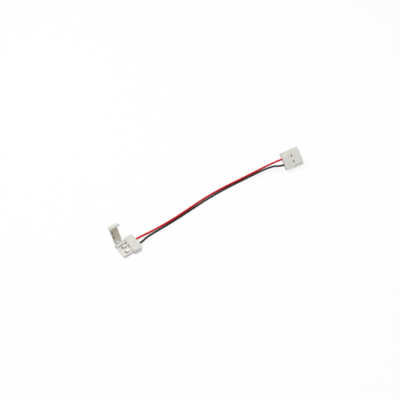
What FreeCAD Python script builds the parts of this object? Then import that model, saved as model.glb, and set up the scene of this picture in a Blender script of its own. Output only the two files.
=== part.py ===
import FreeCAD, Part
import math
import os

from FreeCAD import Placement, Rotation, Vector

# LED strip connector: two white hinged clips for a two-conductor strip, joined by a red and a
# black lead. All sizes are in millimetres. Each clip is drawn in its own frame, with x from the
# strip mouth to the lead end, y towards the lid's hinge and z up from the underside.

# Strip tray
strip_width = 10.0
strip_play = 0.2
tray_length = 8.6
floor_thickness = 1.0
wall_height = 2.9
latch_wall = 1.0
hinge_wall = 2.7
mouth_chamfer = 0.35
edge_radius = 0.35

# Closed housing behind the tray
block_length = 7.5
clip_height = 4.6
end_wall = 1.2
front_wall = 0.9
lead_corner_radius = 1.9
corner_radius = 0.5
cover_chamfer = 0.3
chamber_width = 3.0
chamber_roof = 1.1
tab_length = 2.0
tab_width = 0.9
tab_depth = 1.1
tab_play = 0.03
tab_inset = 1.5

# Lid and its latch flange
lid_thickness = 1.4
lid_mouth_gap = 0.3
lid_block_gap = 1.8
lid_gap = 0.3
flange_thickness = 1.4
flange_bottom = 0.25
flange_radius = 0.4
ear_length = 1.5
bead_bottom = 0.7
bead_foot = 0.6
bead_crest = 0.1
bead_height = 0.2
catch_bottom = 1.45
catch_foot = 0.55
catch_crest = 0.15
catch_height = 0.15
latch_length = 3.2
latch_start = 2.0
rim_width = 0.5
rim_height = 0.2
pocket_length = 1.2
pocket_width = 2.5
pocket_depth = 0.8
pocket_inset = 0.6
pocket_spacing = 3.6
pad_length = 1.6
pad_width = 1.5
pad_height = 0.2

# Lid hinge, whose barrel stands out past the tray's side
barrel_radius = 0.85
hinge_overhang = 0.6
pin_radius = 0.4
pin_play = 0.05
hinge_relief = 0.2
knuckle_width = 1.2
knuckle_inset = 0.9
knuckle_gap = 0.15
knuckle_foot = 1.3
snap_slot = 0.6
open_angle = 116.0

# Contacts, leads and solder
lead_pitch = 5.26
lead_diameter = 1.65
lead_play = 0.02
lead_height = 2.3
core_diameter = 0.76
core_length = 3.5
lead_entry = 0.4
contact_thickness = 0.3
contact_width = 1.8
arm_width = 1.6
tip_width = 1.0
contact_tail = 4.8
root_setback = 0.25
crest_setback = 2.5
toe_setback = 4.4
tip_setback = 5.1
crest_z = 2.57
toe_z = 1.72
tip_z = 2.05
root_radius = 1.2
crest_radius = 0.8
toe_radius = 0.5
solder_film = 0.07
solder_length = 2.4
solder_foot = 1.6
solder_crown = 1.0
solder_rise = 0.15
solder_play = 0.01
tongue_length = 0.5
tongue_play = 0.05

# Windows in the tray's floor before the housing, the groove that joins them on the underside, and
# the recesses below the contacts' toes
slot_setback = 1.2
slot_length = 1.1
slot_width = 3.2
groove_length = 0.8
groove_depth = 0.3
recess_length = 1.5
recess_width = 1.5
recess_depth = 0.6

# Strip guides on the tray walls
guide_setback = 3.1
guide_length = 1.0
guide_reach = 0.8
guide_bottom = 1.7

# Pose of the closed clip, which lies underside up, leaning on its lower long edge
far_clip_x = 175.6
far_clip_y = -13.7
far_clip_yaw = 163.4
far_clip_pitch = 8.0
far_clip_roll = 144.7

# Routes of the leads, from the open clip to the closed one, in the open clip's frame
red_route = (
    (14.50, 2.63, 2.30),
    (21.00, 2.63, 2.30),
    (32.50, 2.35, 0.84),
    (54.00, 1.97, 0.84),
    (93.00, 5.02, 0.84),
    (129.0, 2.16, 0.84),
    (147.2, -1.08, 3.55),
    (155.288, -4.018, 6.528),
    (162.880, -6.281, 7.641),
)
black_route = (
    (14.50, -2.63, 2.30),
    (22.50, -2.63, 2.30),
    (31.00, 0.78, 0.84),
    (54.00, -0.22, 0.84),
    (93.00, 3.00, 0.84),
    (129.0, -0.39, 0.84),
    (148.30, -2.85, 3.92),
    (157.884, -9.271, 4.019),
    (162.059, -10.516, 4.631),
)
bend_share = 0.45

# Places worked out from the sizes above
clip_length = tray_length + block_length
channel_edge = (strip_width + strip_play) / 2
latch_wall_face = -channel_edge - latch_wall
flange_face = latch_wall_face - lid_gap
latch_side = flange_face - flange_thickness
hinge_side = channel_edge + hinge_wall
hinge_y = hinge_side + hinge_overhang - barrel_radius
hinge_z = clip_height - barrel_radius
lid_underside = clip_height - lid_thickness
lid_start = lid_mouth_gap
lid_end = tray_length - lid_block_gap
knuckle_starts = (lid_start + knuckle_inset, lid_end - knuckle_inset - knuckle_width)
lead_y = lead_pitch / 2
core_radius = core_diameter / 2
lead_radius = lead_diameter / 2
contact_top = lead_height - core_radius - solder_film
contact_seat = contact_top - contact_thickness
root_x = tray_length - root_setback
crest_x = tray_length - crest_setback
toe_x = tray_length - toe_setback
tip_x = tray_length - tip_setback
chamber_start = tray_length + front_wall
chamber_end = clip_length - end_wall
lead_end = chamber_end - lead_entry
slack = 1.0
poles = {"red": lead_y, "black": -lead_y}


def box(low, high):
    """Box between two opposite corners."""
    size = Vector(*high) - Vector(*low)
    return Part.makeBox(size.x, size.y, size.z, Vector(*low))


def rod(radius, start, end):
    """Cylinder between two points."""
    axis = Vector(*end) - Vector(*start)
    return Part.makeCylinder(radius, axis.Length, Vector(*start), axis)


def bend(before, point, after, radius):
    """Start, middle and end of the arc that rounds a corner."""
    into = (point - before).normalize()
    out = (after - point).normalize()
    half_turn = into.getAngle(out) / 2
    reach = radius * math.tan(half_turn)
    inward = (out - into).normalize()
    depth = radius / math.cos(half_turn) - radius
    return point - into * reach, point + inward * depth, point + out * reach


def joined(stops):
    """Edges through a list of points and arcs, each arc three points."""
    edges = []
    last = None
    for stop in stops:
        first = stop[0]
        if last is not None and last.distanceToPoint(first) > 1e-6:
            edges.append(Part.LineSegment(last, first).toShape())
        if len(stop) == 3:
            edges.append(Part.Arc(*stop).toShape())
        last = stop[-1]
    return edges


def rounded_face(corners, place):
    """Face inside an outline of (u, v, radius) corners, which place turns into points."""
    points = [place(u, v) for u, v, radius in corners]
    stops = []
    for index, (u, v, radius) in enumerate(corners):
        before = points[index - 1]
        after = points[(index + 1) % len(points)]
        if radius > 0:
            stops.append(bend(before, points[index], after, radius))
        else:
            stops.append((points[index],))
    stops.append((stops[0][0],))
    return Part.Face(Part.Wire(joined(stops)))


def slab(corners, bottom, top):
    """Outline in plan, raised from bottom to top."""
    face = rounded_face(corners, lambda x, y: Vector(x, y, bottom))
    return face.extrude(Vector(0, 0, top - bottom))


def rail(corners, start, end):
    """Outline of y and z corners, drawn along x from start to end."""
    face = rounded_face(corners, lambda y, z: Vector(start, y, z))
    return face.extrude(Vector(end - start, 0, 0))


def bent_sheet(corners, thickness, width):
    """Sheet metal strip whose middle line is (x, z, radius) corners, centred on y = 0."""
    points = [Vector(x, 0, z) for x, z, radius in corners]
    sides = {1: [], -1: []}

    def shifted(point, direction, side):
        normal = Vector(-direction.z, 0, direction.x).normalize()
        return point + normal * (side * thickness / 2)

    for side, stops in sides.items():
        stops.append((shifted(points[0], points[1] - points[0], side),))
        for index in range(1, len(points) - 1):
            before, point, after = points[index - 1:index + 2]
            start, middle, end = bend(before, point, after, corners[index][2])
            into = (point - before).normalize()
            out = (after - point).normalize()
            stops.append((shifted(start, into, side), shifted(middle, into + out, side),
                          shifted(end, out, side)))
        stops.append((shifted(points[-1], points[-1] - points[-2], side),))
    back = [tuple(reversed(stop)) for stop in reversed(sides[-1])]
    outline = sides[1] + back + [sides[1][0]]
    sheet = Part.Face(Part.Wire(joined(outline))).extrude(Vector(0, width, 0))
    sheet.translate(Vector(0, -width / 2, 0))
    return sheet


def fused(first, others):
    """One solid from several that meet."""
    return first.multiFuse(others).removeSplitter()


def housing_outline():
    """Plan of the closed housing, with the large corner at its lead end."""
    return [(tray_length, latch_side, edge_radius), (clip_length, latch_side, lead_corner_radius),
            (clip_length, hinge_side, corner_radius), (tray_length, hinge_side, 0)]


def cover_tabs(play):
    """The two tabs that hold the rear cover, beside the chambers, larger by play all round."""
    middle = tray_length + block_length / 2
    half_length = tab_length / 2 + play
    half_width = tab_width / 2 + play
    return [box((middle - half_length, y - half_width, lead_height - tab_depth - play),
                (middle + half_length, y + half_width, lead_height + slack))
            for y in (latch_side + tab_inset, hinge_side - tab_inset)]


def lead_passages():
    """Bores for the leads through the end wall, split by the cover's seam."""
    radius = lead_radius + lead_play
    return [rod(radius, (chamber_end - slack, y, lead_height), (clip_length + slack, y, lead_height))
            for y in poles.values()]


def chambers(bottom, top):
    """Spaces over the contacts' tails."""
    half = chamber_width / 2
    return [box((chamber_start, y - half, bottom), (chamber_end, y + half, top))
            for y in poles.values()]


def ridge(y, height, bottom, foot, crest):
    """Latch ridge along a wall at y, standing out by height, with a foot and a narrower crest."""
    middle = bottom + foot / 2
    return rail([(y, bottom, 0), (y + height, middle - crest / 2, 0), (y + height, middle + crest / 2, 0),
                 (y, bottom + foot, 0)], latch_start, latch_start + latch_length)


def hinge_knuckles():
    """The two open-topped bearings of the lid's pin."""
    solids = []
    for start in knuckle_starts:
        end = start + knuckle_width
        gusset = rail([(hinge_y - barrel_radius, knuckle_foot, 0), (hinge_side, knuckle_foot, 0),
                       (hinge_y + barrel_radius, hinge_z - barrel_radius, 0),
                       (hinge_y + barrel_radius, hinge_z, 0), (hinge_y - barrel_radius, hinge_z, 0)],
                      start, end)
        knuckle = gusset.fuse(rod(barrel_radius, (start, hinge_y, hinge_z), (end, hinge_y, hinge_z)))
        bore = rod(pin_radius + pin_play, (start - slack, hinge_y, hinge_z),
                   (end + slack, hinge_y, hinge_z))
        slot = box((start - slack, hinge_y - snap_slot / 2, hinge_z),
                   (end + slack, hinge_y + snap_slot / 2, clip_height + slack))
        solids.append(knuckle.cut([bore, slot]))
    return solids


def base():
    """Strip tray and the lower half of the closed housing."""
    tray = slab([(0, latch_wall_face, edge_radius), (tray_length + slack, latch_wall_face, 0),
                 (tray_length + slack, hinge_side, 0), (0, hinge_side, edge_radius)], 0, wall_height)
    tray = tray.cut(box((tray_length, latch_wall_face - slack, lead_height),
                        (tray_length + 2 * slack, hinge_side + slack, wall_height + slack)))
    housing = slab(housing_outline(), 0, lead_height)
    channel = box((-slack, -channel_edge, floor_thickness), (tray_length, channel_edge, clip_height))
    mouth = slab([(-slack, -channel_edge - mouth_chamfer - slack, 0),
                  (mouth_chamfer, -channel_edge, 0), (mouth_chamfer, channel_edge, 0),
                  (-slack, channel_edge + mouth_chamfer + slack, 0)], floor_thickness, clip_height)
    lead_in = box((-slack, -channel_edge, floor_thickness - slack), (slack, channel_edge, floor_thickness))
    lead_in.rotate(Vector(0, 0, floor_thickness - mouth_chamfer), Vector(0, 1, 0), -45)
    relief = rod(barrel_radius + hinge_relief, (-slack, hinge_y, hinge_z), (tray_length, hinge_y, hinge_z))
    outer_relief = box((-slack, hinge_y, hinge_z - barrel_radius - hinge_relief),
                       (tray_length, hinge_side + slack, clip_height))
    body = fused(tray, [housing]).cut([channel, mouth, relief, outer_relief])
    catch = ridge(latch_wall_face, -catch_height, catch_bottom, catch_foot, catch_crest)
    extras = hinge_knuckles() + [catch]
    for side in (-1, 1):
        wall = side * channel_edge
        reach = wall - side * guide_reach
        start = tray_length - guide_setback
        extras.append(box((start, min(wall, reach), guide_bottom),
                          (start + guide_length, max(wall, reach), wall_height)))
    body = fused(body, extras)
    cuts = chambers(contact_seat, lead_height + slack) + lead_passages()
    slot_start = tray_length - slot_setback
    for y in poles.values():
        half = contact_width / 2 + tongue_play
        cuts.append(box((tray_length - slack, y - half, contact_seat),
                        (chamber_start + slack, y + half, lead_height + slack)))
        cuts.append(box((slot_start, y - slot_width / 2, -slack),
                        (slot_start + slot_length, y + slot_width / 2, floor_thickness + slack)))
        cuts.append(box((toe_x - recess_length / 2, y - recess_width / 2, floor_thickness - recess_depth),
                        (toe_x + recess_length / 2, y + recess_width / 2, floor_thickness + slack)))
    groove_start = slot_start + (slot_length - groove_length) / 2
    cuts.append(box((groove_start, -lead_y, -slack), (groove_start + groove_length, lead_y, groove_depth)))
    return body.cut(cuts + cover_tabs(tab_play))


def rear_cover():
    """Cap over the solder joints, held by its tabs in the base."""
    blank = slab(housing_outline(), lead_height, clip_height)
    rim = [edge for edge in blank.Edges
           if all(abs(vertex.Z - clip_height) < 1e-6 for vertex in edge.Vertexes)
           and edge.BoundBox.XMax > tray_length + 1e-6]
    blank = blank.makeChamfer(cover_chamfer, rim)
    cap = blank.cut(chambers(lead_height - slack, clip_height - chamber_roof) + lead_passages())
    extras = cover_tabs(0)
    for y in poles.values():
        half = contact_width / 2 - tongue_play
        extras.append(box((tray_length + tongue_play, y - half, contact_top + tongue_play),
                          (tray_length + tongue_play + tongue_length, y + half, lead_height + slack)))
    return fused(cap, extras)


def lid():
    """Lid with latch flange, ear and hinge pin, closed."""
    plate = rail([(latch_side, flange_bottom, flange_radius), (latch_side, clip_height, flange_radius),
                  (hinge_y, clip_height, 0), (hinge_y, lid_underside, 0),
                  (flange_face, lid_underside, flange_radius), (flange_face, flange_bottom, flange_radius)],
                 lid_start, lid_end)
    barrel = rod(barrel_radius, (lid_start, hinge_y, hinge_z), (lid_end, hinge_y, hinge_z))
    ear = rail([(latch_side, flange_bottom, flange_radius), (latch_side, clip_height, flange_radius),
                (flange_face, clip_height, 0), (flange_face, flange_bottom, flange_radius)],
               lid_end - slack, lid_end + ear_length)
    bead = ridge(flange_face, bead_height, bead_bottom, bead_foot, bead_crest)
    rim = box((lid_end - rim_width, flange_face + flange_radius, lid_underside - rim_height),
              (lid_end, hinge_y - 2 * barrel_radius, lid_underside))
    pads = [box((crest_x - pad_length / 2, y - pad_width / 2, lid_underside - pad_height),
                (crest_x + pad_length / 2, y + pad_width / 2, lid_underside))
            for y in poles.values()]
    body = fused(plate, [barrel, ear, bead, rim] + pads)
    reach = barrel_radius + hinge_relief
    cuts = [box((start - knuckle_gap, hinge_y - reach, lid_underside - slack),
                (start + knuckle_width + knuckle_gap, hinge_side + slack, clip_height + slack))
            for start in knuckle_starts]
    for side in (-1, 1):
        middle = side * pocket_spacing / 2
        start = lid_start + pocket_inset
        cuts.append(box((start, middle - pocket_width / 2, lid_underside - slack),
                        (start + pocket_length, middle + pocket_width / 2, lid_underside + pocket_depth)))
    body = body.cut(cuts)
    pin = rod(pin_radius, (lid_start + knuckle_gap, hinge_y, hinge_z), (lid_end - knuckle_gap, hinge_y, hinge_z))
    return fused(body, [pin])


def contact(y):
    """Sprung contact: a flat tail in the housing and a bowed arm over the tray."""
    middle_z = contact_seat + contact_thickness / 2
    tail_end = tray_length + contact_tail
    sheet = bent_sheet([(tail_end, middle_z, 0), (root_x, middle_z, root_radius),
                        (crest_x, crest_z, crest_radius), (toe_x, toe_z, toe_radius), (tip_x, tip_z, 0)],
                       contact_thickness, contact_width)
    half_tip, half_arm, half_tail = tip_width / 2, arm_width / 2, contact_width / 2
    plan = slab([(tip_x - slack, -half_tip, 0), (tip_x, -half_tip, 0), (toe_x + slack, -half_arm, 0),
                 (root_x, -half_arm, 0), (tray_length, -half_tail, 0), (tail_end + slack, -half_tail, 0),
                 (tail_end + slack, half_tail, 0), (tray_length, half_tail, 0), (root_x, half_arm, 0),
                 (toe_x + slack, half_arm, 0), (tip_x, half_tip, 0), (tip_x - slack, half_tip, 0)],
                0, clip_height)
    piece = sheet.common(plan)
    piece.translate(Vector(0, y, 0))
    return piece


def core(y):
    """Bared copper at the lead's end."""
    return rod(core_radius, (lead_end - core_length, y, lead_height), (lead_end, y, lead_height))


def solder(y):
    """Solder bead that joins the bared copper to the contact's tail."""
    end = tray_length + contact_tail - solder_film
    start = end - solder_length
    top = lead_height + solder_rise
    bead = rail([(y - solder_foot / 2, contact_top, 0), (y + solder_foot / 2, contact_top, 0),
                 (y + solder_crown / 2, top, 0), (y - solder_crown / 2, top, 0)], start, end)
    wire = rod(core_radius + solder_play, (start - slack, y, lead_height), (end + slack, y, lead_height))
    return bead.cut(wire)


def clip_parts():
    """All pieces of one closed clip, by name."""
    parts = {"base": base(), "rear_cover": rear_cover(), "lid": lid()}
    for colour, y in poles.items():
        parts[colour + "_contact"] = contact(y)
        parts[colour + "_solder"] = solder(y)
        parts[colour + "_core"] = core(y)
    return parts


def lead(route, name):
    """Insulated lead: straight runs joined by tangent arcs as large as the runs allow."""
    points = [Vector(*point) for point in route]
    stops = [(points[0],)]
    radii = []
    for index in range(1, len(points) - 1):
        before, point, after = points[index - 1:index + 2]
        run = min(before.distanceToPoint(point), point.distanceToPoint(after))
        turn = (point - before).getAngle(after - point)
        radius = bend_share * run / math.tan(turn / 2)
        radii.append(round(radius, 1))
        stops.append(bend(before, point, after, radius))
    stops.append((points[-1],))
    path = Part.Wire(joined(stops))
    circle = Part.Circle(points[0], points[1] - points[0], lead_radius).toShape()
    tube = path.makePipeShell([Part.Wire([circle])], True, False)
    section = math.pi * lead_radius ** 2
    print(name, "length", round(path.Length, 2), "radii", radii,
          "volume over section times length", round(tube.Volume / (section * path.Length), 4))
    return tube


def lowest(shapes):
    """Height of the lowest point."""
    return min(shape.optimalBoundingBox(False, False).ZMin for shape in shapes)


def placed(shape, placement):
    """Copy of a shape, moved by a placement."""
    moved = shape.copy()
    moved.Placement = placement.multiply(moved.Placement)
    return moved


def main():
    os.makedirs("parts", exist_ok=True)
    closed = clip_parts()

    # The open clip stands on its underside with its lid swung up about the hinge.
    pieces = {"left_" + name: shape.copy() for name, shape in closed.items()}
    pieces["left_lid"].rotate(Vector(0, hinge_y, hinge_z), Vector(1, 0, 0), -open_angle)

    # The closed clip is turned over and let down until it touches the surface.
    turn = Rotation(far_clip_yaw, far_clip_pitch, far_clip_roll)
    pose = Placement(Vector(far_clip_x, far_clip_y, 0), turn)
    drop = lowest([placed(shape, pose) for shape in closed.values()])
    pose = Placement(Vector(far_clip_x, far_clip_y, -drop), turn)
    pieces.update({"right_" + name: placed(shape, pose) for name, shape in closed.items()})

    # The origin is under the middle of the two clips.
    boxes = [shape.optimalBoundingBox(False, False) for shape in pieces.values()]
    middle_x = (min(b.XMin for b in boxes) + max(b.XMax for b in boxes)) / 2
    middle_y = (min(b.YMin for b in boxes) + max(b.YMax for b in boxes)) / 2
    shift = Vector(-middle_x, -middle_y, 0)
    pieces["red_lead"] = lead(red_route, "red_lead")
    pieces["black_lead"] = lead(black_route, "black_lead")
    for name, shape in pieces.items():
        shape.translate(shift)
        solids = len(shape.Solids)
        if solids != 1 or not shape.isValid():
            print("check", name, "solids", solids, "valid", shape.isValid())
        shape.exportStep(f"parts/{name}.step")

    print("shift", shift, "closed clip at", pose.Base)
    for name, y in poles.items():
        print(name, "lead end", pose.multVec(Vector(lead_end, y, lead_height)),
              "mouth", pose.multVec(Vector(clip_length, y, lead_height)))
    mouth_z = floor_thickness + slack
    print("open hinge at", Vector(0, hinge_y, hinge_z) + shift, "open mouth at", Vector(0, 0, mouth_z) + shift)
    print("closed clip x", turn.multVec(Vector(1, 0, 0)),
          "closed hinge", pose.multVec(Vector(0, hinge_y, hinge_z)) + shift,
          "closed mouth at", pose.multVec(Vector(0, 0, mouth_z)) + shift)


main()
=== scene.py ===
"""Looks of the LED strip connector: two white clips joined by a red and a black lead."""

import math

import bpy
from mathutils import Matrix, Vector


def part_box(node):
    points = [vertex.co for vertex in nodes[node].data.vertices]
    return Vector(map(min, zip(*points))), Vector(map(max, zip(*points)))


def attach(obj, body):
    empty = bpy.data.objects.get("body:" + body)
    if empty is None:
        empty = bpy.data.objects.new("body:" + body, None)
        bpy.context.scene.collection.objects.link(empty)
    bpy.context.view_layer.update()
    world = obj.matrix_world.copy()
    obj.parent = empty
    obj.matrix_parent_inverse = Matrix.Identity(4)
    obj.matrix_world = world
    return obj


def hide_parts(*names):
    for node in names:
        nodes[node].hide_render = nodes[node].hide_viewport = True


for leftover in ("Cube", "Light", "Camera"):
    if leftover in bpy.data.objects:
        bpy.data.objects.remove(bpy.data.objects[leftover])

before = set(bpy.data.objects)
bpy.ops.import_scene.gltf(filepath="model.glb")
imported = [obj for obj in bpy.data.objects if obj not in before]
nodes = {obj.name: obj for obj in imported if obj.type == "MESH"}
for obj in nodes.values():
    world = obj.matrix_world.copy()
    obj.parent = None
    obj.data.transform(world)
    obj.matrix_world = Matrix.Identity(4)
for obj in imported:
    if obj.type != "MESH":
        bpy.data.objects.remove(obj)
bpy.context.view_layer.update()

MM = 0.001

# Leads. Their routes run from the open clip to the closed one, in millimetres in the open clip's frame,
# and lie close to those of the CAD leads.
LEAD_DIAMETER = 1.65 * MM
LEAD_STEPS = 24
LEAD_ROUNDNESS = 8
RED_ROUTE = (
    (14.50, 2.63, 2.30),
    (21.00, 2.63, 2.30),
    (31.50, 2.45, 0.84),
    (54.00, 1.97, 0.84),
    (93.00, 5.02, 0.84),
    (129.8, 2.06, 0.84),
    (148.1, -1.40, 3.90),
    (155.288, -4.018, 6.528),
    (162.880, -6.281, 7.641),
)
BLACK_ROUTE = (
    (14.50, -2.63, 2.30),
    (18.00, -2.63, 2.30),
    (23.80, -1.34, 2.72),
    (31.50, 0.28, 0.84),
    (52.50, 0.09, 0.84),
    (94.50, 2.82, 0.84),
    (129.4, 0.30, 0.84),
    (151.0, -4.60, 4.70),
    (157.884, -9.271, 4.019),
    (162.059, -10.516, 4.631),
)

# Each clip's own directions in the scene: along it from its strip mouth, up from its underside, across to its
# hinge side, inward out of its lid's inner face, and the reach of that lid from its hinge. Then two points in
# millimetres: one in its mouth, a millimetre above the tray's floor, and one on its hinge.
CLIPS = {
    "left": {
        "along": (1.0, 0.0, 0.0),
        "up": (0.0, 0.0, 1.0),
        "across": (0.0, 1.0, 0.0),
        "inward": (0.0, -0.8988, 0.4384),
        "reach": (0.0, 0.4384, 0.8988),
        "mouth": (-88.895, 2.355, 2.0),
        "hinge": (-88.895, 9.905, 3.75),
    },
    "right": {
        "along": (-0.9490, 0.2829, -0.1392),
        "up": (0.2739, 0.5213, -0.8082),
        "across": (0.1561, 0.8051, 0.5722),
        "inward": (-0.2739, -0.5213, 0.8082),
        "reach": (-0.1561, -0.8051, -0.5722),
        "mouth": (87.253, -10.303, 8.396),
        "hinge": (88.911, -3.312, 11.302),
    },
}

# Each finish: its darker and lighter colour, the scale and detail of its mottling, the scale on which its
# gloss changes, its lowest and highest roughness, and the scale, detail and depth of its grain. Scales are
# per metre. The white plastic also has the share of light that enters it and how deep that light goes, and
# the insulation has the strength of its reflections.
INSULATION = {
    "mottle": (220, 4),
    "gloss_scale": 1200,
    "roughness": (0.36, 0.52),
    "grain": (2600, 3),
    "relief": 0.008 * MM,
}
FINISHES = {
    "white_plastic": {
        "colours": ((0.825, 0.818, 0.770, 1), (0.87, 0.862, 0.82, 1)),
        "mottle": (160, 2),
        "gloss_scale": 900,
        "roughness": (0.32, 0.46),
        "grain": (5000, 3),
        "relief": 0.03 * MM,
        "subsurface": (0.2, 0.5 * MM),
    },
    "contact": {
        "colours": ((0.78, 0.745, 0.67, 1), (0.86, 0.83, 0.775, 1)),
        "mottle": (700, 4),
        "gloss_scale": 2500,
        "roughness": (0.30, 0.46),
        "grain": (9000, 2),
        "relief": 0.006 * MM,
        "metallic": 1.0,
    },
    "solder": {
        "colours": ((0.60, 0.60, 0.62, 1), (0.78, 0.78, 0.80, 1)),
        "mottle": (900, 4),
        "gloss_scale": 1800,
        "roughness": (0.2, 0.4),
        "grain": (3000, 4),
        "relief": 0.01 * MM,
        "metallic": 1.0,
    },
    "copper": {
        "colours": ((0.66, 0.32, 0.18, 1), (0.82, 0.46, 0.30, 1)),
        "mottle": (2500, 4),
        "gloss_scale": 2500,
        "roughness": (0.25, 0.4),
        "grain": (6000, 4),
        "relief": 0.02 * MM,
        "metallic": 1.0,
    },
    "red_insulation": {
        **INSULATION,
        "colours": ((0.86, 0.006, 0.012, 1), (0.96, 0.012, 0.020, 1)),
        "reflection": 0.08,
    },
    "black_insulation": {
        **INSULATION,
        "colours": ((0.034, 0.028, 0.030, 1), (0.050, 0.042, 0.045, 1)),
        "reflection": 0.1,
    },
}
GLOSS_DETAIL = 4
EVEN_RADIUS = (1.0, 1.0, 1.0)
NOISE_RANGE = (0.3, 0.7)

# Painted light and shade on a base. Paler plastic in the tray and at the hinge stands in for light there, a
# warm tan is painted at the housing's foot and a darker tan down in the windows in place of shade, the
# underside is painted lighter and warmer, and its groove takes a warm painted shade. Each pair says where a
# tint begins and where it is full, in
# millimetres from the point in the mouth: up, across or along the clip.
TRAY_PAINTED_LIGHT = (0.895, 0.89, 0.85, 1)
# Warm tan painted shade at the housing's foot
TRAY_PAINTED_WARM_SHADE = (0.95, 0.88, 0.76, 1)
# Darker tan painted shade down in the floor's windows
WINDOW_PAINTED_SHADE = (0.78, 0.69, 0.54, 1)
# Lighter, warmer painted light on the underside, toward the hinge side and round the groove
UNDER_PAINTED_WARM_LIGHT = (0.93, 0.92, 0.835, 1)
# Warm painted shade on the ceilings of the underside's groove and slots
GROOVE_PAINTED_WARM_SHADE = (0.93, 0.87, 0.70, 1)
# Near-white painted light at the hinge, on base and lid
HINGE_PAINTED_LIGHT = (0.985, 0.98, 0.95, 1)
UNDERSIDE = -2.0
UP_FROM_UNDERSIDE = (UNDERSIDE + 0.05, UNDERSIDE + 0.2)
DOWN_IN_WINDOW = (-1.05, -1.25)
ACROSS_FROM_LATCH = (-5.9, -5.7)
ACROSS_TO_OUTER_HINGE = (7.75, 7.6)
ACROSS_AT_HINGE = (4.9, 5.3)
ACROSS_TO_HINGE_SIDE = (0.0, 7.0)
ALONG_FROM_MOUTH = (0.1, 0.3)
ALONG_TO_HOUSING = (8.75, 8.65)
ALONG_TO_FOOT = (7.2, 8.4)
ALONG_TO_GROOVE = (6.2, 7.6)
ALONG_PAST_GROOVE = (9.8, 8.4)

# Painted light and shade on a lid, with pairs from its hinge: out of its inner face, or along its reach. The
# inner face takes a brown painted shade, darkest in its pockets, and the lid is paler near the hinge as
# painted light. The last pair runs along the clip from its mouth, and there the painted shade fades to a
# share of its strength.
PAINTED_SHADE_NEAR = ((0.70, 0.615, 0.49, 1), (0.78, 0.70, 0.575, 1))
PAINTED_SHADE_FAR = ((0.60, 0.51, 0.39, 1), (0.69, 0.605, 0.485, 1))
# Dark brown painted shade in the lid's pockets
POCKET_PAINTED_SHADE = (0.31, 0.24, 0.17, 1)
PAINTED_SHADE_MOTTLE = (420, 3)
PAINTED_SHADE_SHARE = 0.55
LID_FACE = 0.55
OUT_TO_FACE = (LID_FACE + 1.2, LID_FACE + 0.6)
OUT_IN_POCKET = (LID_FACE - 0.2, LID_FACE - 0.5)
REACH_TO_PAINTED_SHADE = (1.0, 2.6)
REACH_TO_HINGE = (2.6, 1.6)
REACH_TO_LATCH = (4.0, 12.0)
ALONG_WHERE_PAINTED_SHADE_FADES = (4.2, 6.6)

# Painted light and shade on a contact, with pairs along the clip from its mouth: painted light at its root,
# and brown painted shade at its toe and on its faces turned down
ROOT_PAINTED_LIGHT = (0.93, 0.905, 0.855, 1)
# Brown painted shade at the toe
TOE_PAINTED_SHADE = ((0.16, 0.11, 0.075, 1), (0.36, 0.25, 0.17, 1))
TOE_SHADE_MOTTLE = (1500, 4)
# Brown painted shade on faces turned down
UNDER_PAINTED_SHADE = (0.42, 0.33, 0.22, 1)
ROOT_ROUGHNESS = 0.25
ALONG_TO_ROOT = (6.3, 7.0)
ALONG_TO_TOE = (5.0, 4.0)

# How squarely a face has to turn to a direction to take its painted light and shade, as a cosine
SQUARE_TO = (0.7, 0.95)

# Camera: where it looks, in millimetres in the open clip's frame, and how it stands to that point
LOOK_AT = (82.25, 5.60, 0.0)
CAMERA_DISTANCE = 600.0
CAMERA_ELEVATION = 49.1
CAMERA_AZIMUTH = -37.7
CAMERA_LENS = 65.7
SENSOR_WIDTH = 36

# Light and floor
SKY_COLOUR = (1, 1, 1, 1)
SKY_STRENGTH = 0.46
KEY_POWER = 3.5
KEY_SIZE = 0.6
KEY_PLACE = (-0.12, 0.23, 0.87)
FLOOR_SIZE = 3.0
FLOOR_COLOUR = (0.90, 0.90, 0.90, 1)
FLOOR_ROUGHNESS = 0.9
FLOOR_WHITE = 1.08
FLOOR_WHITE_SHARE = 0.75


def open_clip_origin():
    """Origin of the open clip's frame: at its strip mouth, on its middle line, on the floor."""
    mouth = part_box("left_base")[0].x
    low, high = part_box("left_rear_cover")
    return Vector((mouth, (low.y + high.y) / 2, 0))


ORIGIN = open_clip_origin()


def place(point):
    """Point of the open clip's frame, in millimetres, as a place in metres."""
    return ORIGIN + Vector(point) * MM


def new_material(name):
    """Material with its node tree and its Principled shader."""
    material = bpy.data.materials.new(name)
    material.use_nodes = True
    tree = material.node_tree
    return material, tree, tree.nodes["Principled BSDF"]


def noise(tree, scale, detail):
    """Noise texture in object space, its scale per metre."""
    coordinates = tree.nodes.new("ShaderNodeTexCoord")
    texture = tree.nodes.new("ShaderNodeTexNoise")
    texture.inputs["Scale"].default_value = scale
    texture.inputs["Detail"].default_value = detail
    tree.links.new(coordinates.outputs["Object"], texture.inputs["Vector"])
    return texture.outputs["Fac"]


def remapped(tree, value, limits, low, high, smooth=False):
    """Number from low to high, as the value goes from the first limit to the second."""
    mapped = tree.nodes.new("ShaderNodeMapRange")
    if smooth:
        mapped.interpolation_type = "SMOOTHSTEP"
    mapped.inputs["From Min"].default_value = limits[0]
    mapped.inputs["From Max"].default_value = limits[1]
    mapped.inputs["To Min"].default_value = low
    mapped.inputs["To Max"].default_value = high
    tree.links.new(value, mapped.inputs["Value"])
    return mapped.outputs["Result"]


def ramp(tree, value, begins, full):
    """Share that grows from 0 where it begins to 1 where it is full, which may be the smaller value."""
    if begins < full:
        return remapped(tree, value, (begins, full), 0.0, 1.0, smooth=True)
    return remapped(tree, value, (full, begins), 1.0, 0.0, smooth=True)


def combined(tree, operation, *values):
    """Numbers joined one after the other by an operation."""
    result = values[0]
    for value in values[1:]:
        joined = tree.nodes.new("ShaderNodeMath")
        joined.operation = operation
        tree.links.new(result, joined.inputs[0])
        tree.links.new(value, joined.inputs[1])
        result = joined.outputs["Value"]
    return result


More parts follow.
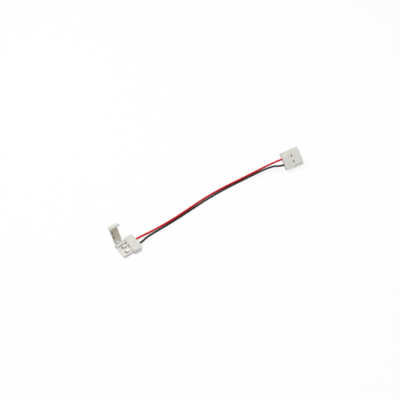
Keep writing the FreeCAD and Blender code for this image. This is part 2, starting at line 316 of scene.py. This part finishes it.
def product(tree, *shares):
    """Shares multiplied, which is full only where all of them are."""
    return combined(tree, "MULTIPLY", *shares)


def mixed(tree, share, first, second):
    """Colour between two, by a share; each is a colour or another node's output."""
    mix = tree.nodes.new("ShaderNodeMix")
    mix.data_type = "RGBA"
    for socket, colour in (("A", first), ("B", second)):
        if isinstance(colour, tuple):
            mix.inputs[socket].default_value = colour
        else:
            tree.links.new(colour, mix.inputs[socket])
    tree.links.new(share, mix.inputs["Factor"])
    return mix.outputs["Result"]


def mottled(tree, mottle, colours):
    """Colour that wanders between two in soft patches."""
    share = remapped(tree, noise(tree, *mottle), NOISE_RANGE, 0.0, 1.0)
    return mixed(tree, share, *colours)


def measured_along(tree, output, direction):
    """One of the surface's coordinates, measured along a direction."""
    coordinates = tree.nodes.new("ShaderNodeTexCoord")
    projected = tree.nodes.new("ShaderNodeVectorMath")
    projected.operation = "DOT_PRODUCT"
    projected.inputs[1].default_value = direction
    tree.links.new(coordinates.outputs[output], projected.inputs[0])
    return projected.outputs["Value"]


def distance_along(tree, piece, direction, start):
    """How far a point of the piece lies along a direction of the scene, in millimetres from start."""
    turned = piece.matrix_world.to_3x3().inverted() @ Vector(direction)
    moved = piece.matrix_world.inverted() @ (Vector(start) * MM)
    offset = tree.nodes.new("ShaderNodeMath")
    offset.operation = "SUBTRACT"
    offset.inputs[1].default_value = turned.dot(moved) / MM
    tree.links.new(measured_along(tree, "Object", turned / MM), offset.inputs[0])
    return offset.outputs["Value"]


def facing(tree, piece, direction):
    """How squarely the surface faces a direction of the scene, from 0 to 1."""
    turned = (piece.matrix_world.to_3x3().inverted() @ Vector(direction)).normalized()
    return ramp(tree, measured_along(tree, "Normal", turned), *SQUARE_TO)


def finished(name, finish):
    """Material of one of the finishes: a mottled colour, an uneven gloss and a fine grain."""
    look = FINISHES[finish]
    material, tree, shader = new_material(name)
    tree.links.new(mottled(tree, look["mottle"], look["colours"]), shader.inputs["Base Color"])
    gloss = noise(tree, look["gloss_scale"], GLOSS_DETAIL)
    tree.links.new(remapped(tree, gloss, NOISE_RANGE, *look["roughness"]), shader.inputs["Roughness"])
    relief = tree.nodes.new("ShaderNodeBump")
    relief.inputs["Distance"].default_value = look["relief"]
    tree.links.new(noise(tree, *look["grain"]), relief.inputs["Height"])
    tree.links.new(relief.outputs["Normal"], shader.inputs["Normal"])
    if "subsurface" in look:
        share, depth = look["subsurface"]
        shader.inputs["Subsurface Weight"].default_value = share
        shader.inputs["Subsurface Radius"].default_value = EVEN_RADIUS
        shader.inputs["Subsurface Scale"].default_value = depth
    if "metallic" in look:
        shader.inputs["Metallic"].default_value = look["metallic"]
    if "reflection" in look:
        shader.inputs["Specular IOR Level"].default_value = look["reflection"]
    return material, tree, shader


def feeding(shader, socket):
    """Output that feeds one of the shader's sockets."""
    return shader.inputs[socket].links[0].from_socket


def base_plastic(name, piece, clip):
    """White plastic with painted light and shade: paler in the tray and at the hinge, a warm tan painted
    shade by the housing's foot and a darker one in the windows, lighter and warmer below, and warm painted
    shade in the underside's groove.
    """
    material, tree, shader = finished(name + "_plastic", "white_plastic")
    height = distance_along(tree, piece, clip["up"], clip["mouth"])
    across = distance_along(tree, piece, clip["across"], clip["mouth"])
    along = distance_along(tree, piece, clip["along"], clip["mouth"])
    under = facing(tree, piece, Vector(clip["up"]) * -1)
    raised = ramp(tree, height, *UP_FROM_UNDERSIDE)

    # Painted light on the underside: lighter and warmer toward the hinge side and beside the groove
    beside_groove = product(tree, ramp(tree, along, *ALONG_TO_GROOVE), ramp(tree, along, *ALONG_PAST_GROOVE))
    under_light_mask = combined(tree, "MAXIMUM", ramp(tree, across, *ACROSS_TO_HINGE_SIDE), beside_groove)
    outside = mixed(tree, product(tree, under, under_light_mask), feeding(shader, "Base Color"), UNDER_PAINTED_WARM_LIGHT)

    # Painted light: the tray is paler, lifting its shade; a warm tan painted shade gathers at the housing's
    # foot
    walls = mixed(tree, ramp(tree, along, *ALONG_TO_FOOT), TRAY_PAINTED_LIGHT, TRAY_PAINTED_WARM_SHADE)
    # Painted shade down in the windows
    walls_and_windows = mixed(tree, ramp(tree, height, *DOWN_IN_WINDOW), walls, WINDOW_PAINTED_SHADE)
    # Painted light at the hinge
    inside = mixed(tree, ramp(tree, across, *ACROSS_AT_HINGE), walls_and_windows, HINGE_PAINTED_LIGHT)
    tray = product(tree, raised, ramp(tree, across, *ACROSS_FROM_LATCH), ramp(tree, along, *ALONG_FROM_MOUTH),
                   ramp(tree, along, *ALONG_TO_HOUSING), ramp(tree, across, *ACROSS_TO_OUTER_HINGE))

    # Warm painted shade in the underside's groove and slots
    groove = product(tree, under, raised)
    colour = mixed(tree, groove, mixed(tree, tray, outside, inside), GROOVE_PAINTED_WARM_SHADE)
    tree.links.new(colour, shader.inputs["Base Color"])
    return material


def lid_plastic(name, piece, clip):
    """White plastic, with brown painted shade on the lid's inner face, less near the housing and darkest in
    its pockets, and paler near the hinge as painted light.
    """
    material, tree, shader = finished(name + "_plastic", "white_plastic")
    height = distance_along(tree, piece, clip["inward"], clip["hinge"])
    reach = distance_along(tree, piece, clip["reach"], clip["hinge"])
    along = distance_along(tree, piece, clip["along"], clip["mouth"])
    face = product(tree, facing(tree, piece, clip["inward"]), ramp(tree, height, *OUT_TO_FACE))
    # Brown painted shade on the lid's inner face, weaker toward the housing
    fade = remapped(tree, ramp(tree, along, *ALONG_WHERE_PAINTED_SHADE_FADES), (0.0, 1.0), 1.0, PAINTED_SHADE_SHARE)
    painted_shade_mask = product(tree, face, ramp(tree, reach, *REACH_TO_PAINTED_SHADE), fade)
    pocket = product(tree, face, ramp(tree, height, *OUT_IN_POCKET))

    # Painted light near the hinge
    painted_hinge_light = mixed(tree, ramp(tree, reach, *REACH_TO_HINGE), feeding(shader, "Base Color"), HINGE_PAINTED_LIGHT)
    # The brown painted shade deepens from near the hinge toward the latch
    painted_shade_colour = mixed(tree, ramp(tree, reach, *REACH_TO_LATCH), mottled(tree, PAINTED_SHADE_MOTTLE, PAINTED_SHADE_NEAR),
                  mottled(tree, PAINTED_SHADE_MOTTLE, PAINTED_SHADE_FAR))
    # Darkest painted shade in the pockets
    colour = mixed(tree, pocket, mixed(tree, painted_shade_mask, painted_hinge_light, painted_shade_colour), POCKET_PAINTED_SHADE)
    tree.links.new(colour, shader.inputs["Base Color"])
    return material


def contact_metal(name, piece, clip):
    """Tinned sheet metal, lighter at its root as painted light and least glossy there, with brown painted
    shade at its toe and below.
    """
    material, tree, shader = finished(name + "_metal", "contact")
    along = distance_along(tree, piece, clip["along"], clip["mouth"])
    under = facing(tree, piece, Vector(clip["up"]) * -1)
    root = ramp(tree, along, *ALONG_TO_ROOT)
    # Painted light: the root is lighter
    painted_root_light = mixed(tree, root, feeding(shader, "Base Color"), ROOT_PAINTED_LIGHT)
    # Brown painted shade at the toe
    painted_toe_shade = mottled(tree, TOE_SHADE_MOTTLE, TOE_PAINTED_SHADE)
    top = mixed(tree, ramp(tree, along, *ALONG_TO_TOE), painted_root_light, painted_toe_shade)
    # Brown painted shade on faces turned down
    tree.links.new(mixed(tree, under, top, UNDER_PAINTED_SHADE), shader.inputs["Base Color"])
    rougher = remapped(tree, root, (0.0, 1.0), 0.0, ROOT_ROUGHNESS)
    roughness = combined(tree, "ADD", feeding(shader, "Roughness"), rougher)
    tree.links.new(roughness, shader.inputs["Roughness"])
    return material


def dress_nodes():
    """Gives every CAD piece its material, apart from the leads, which the scene replaces."""
    plain = {
        "cover": finished("white_plastic", "white_plastic")[0],
        "solder": finished("solder", "solder")[0],
        "core": finished("copper", "copper")[0],
    }
    tinted = {"base": base_plastic, "lid": lid_plastic, "contact": contact_metal}
    for name, piece in nodes.items():
        words = name.split("_")
        side, kind = words[0], words[-1]
        if kind in tinted:
            material = tinted[kind](name, piece, CLIPS[side])
        elif kind in plain:
            material = plain[kind]
        else:
            continue
        piece.data.materials.clear()
        piece.data.materials.append(material)


def lead(name, route, node):
    """Lead as one smooth line along its route, from housing to housing, in place of its CAD node."""
    insulation = node.replace("lead", "insulation")
    curve = bpy.data.curves.new(name, "CURVE")
    curve.dimensions = "3D"
    curve.resolution_u = LEAD_STEPS
    curve.bevel_depth = LEAD_DIAMETER / 2
    curve.bevel_resolution = LEAD_ROUNDNESS
    curve.use_fill_caps = True
    spline = curve.splines.new("NURBS")
    spline.points.add(len(route) - 1)
    for control, point in zip(spline.points, route):
        control.co = (*place(point), 1)
    spline.order_u = 3
    spline.use_endpoint_u = True
    curve.materials.append(finished(insulation, insulation)[0])
    piece = bpy.data.objects.new(name, curve)
    bpy.context.scene.collection.objects.link(piece)
    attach(piece, "connector")
    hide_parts(node)


def floor():
    """White floor, which shows nearly white to the camera and keeps a faint shadow."""
    bpy.ops.mesh.primitive_plane_add(size=FLOOR_SIZE, location=(0, 0, 0))
    plane = bpy.context.object
    plane.name = "floor"
    material, tree, shader = new_material("floor")
    shader.inputs["Base Color"].default_value = FLOOR_COLOUR
    shader.inputs["Roughness"].default_value = FLOOR_ROUGHNESS
    glow = tree.nodes.new("ShaderNodeEmission")
    glow.inputs["Strength"].default_value = FLOOR_WHITE
    share = tree.nodes.new("ShaderNodeMath")
    share.operation = "MULTIPLY"
    share.inputs[1].default_value = FLOOR_WHITE_SHARE
    path = tree.nodes.new("ShaderNodeLightPath")
    mix = tree.nodes.new("ShaderNodeMixShader")
    tree.links.new(path.outputs["Is Camera Ray"], share.inputs[0])
    tree.links.new(share.outputs["Value"], mix.inputs["Fac"])
    tree.links.new(shader.outputs["BSDF"], mix.inputs[1])
    tree.links.new(glow.outputs["Emission"], mix.inputs[2])
    tree.links.new(mix.outputs["Shader"], tree.nodes["Material Output"].inputs["Surface"])
    plane.data.materials.append(material)


def sky():
    """Even light from all round, white where the camera or a reflection sees it."""
    world = bpy.data.worlds.new("sky")
    bpy.context.scene.world = world
    world.use_nodes = True
    tree = world.node_tree
    background = tree.nodes["Background"]
    background.inputs["Color"].default_value = SKY_COLOUR
    path = tree.nodes.new("ShaderNodeLightPath")
    seen = combined(tree, "MAXIMUM", path.outputs["Is Camera Ray"], path.outputs["Is Glossy Ray"])
    strength = remapped(tree, seen, (0.0, 1.0), SKY_STRENGTH, 1.0)
    tree.links.new(strength, background.inputs["Strength"])


def lamp():
    """Soft square lamp that faces the middle of the object."""
    light = bpy.data.lights.new("key", "AREA")
    light.size = KEY_SIZE
    light.energy = KEY_POWER
    piece = bpy.data.objects.new("key", light)
    piece.location = KEY_PLACE
    piece.rotation_euler = (-Vector(KEY_PLACE)).to_track_quat("-Z", "Y").to_euler()
    bpy.context.scene.collection.objects.link(piece)


def camera():
    """Camera at the photograph's angle."""
    azimuth = math.radians(CAMERA_AZIMUTH)
    elevation = math.radians(CAMERA_ELEVATION)
    back = Vector((
        math.sin(azimuth) * math.cos(elevation),
        -math.cos(azimuth) * math.cos(elevation),
        math.sin(elevation),
    ))
    data = bpy.data.cameras.new("camera")
    data.sensor_width = SENSOR_WIDTH
    data.lens = CAMERA_LENS
    piece = bpy.data.objects.new("camera", data)
    piece.location = place(LOOK_AT) + back * CAMERA_DISTANCE * MM
    piece.rotation_euler = (-back).to_track_quat("-Z", "Y").to_euler()
    bpy.context.scene.collection.objects.link(piece)
    bpy.context.scene.camera = piece


def main():
    bpy.context.scene.view_settings.view_transform = "Standard"
    dress_nodes()
    lead("red_insulated_lead", RED_ROUTE, "red_lead")
    lead("black_insulated_lead", BLACK_ROUTE, "black_lead")
    floor()
    sky()
    lamp()
    camera()


main()
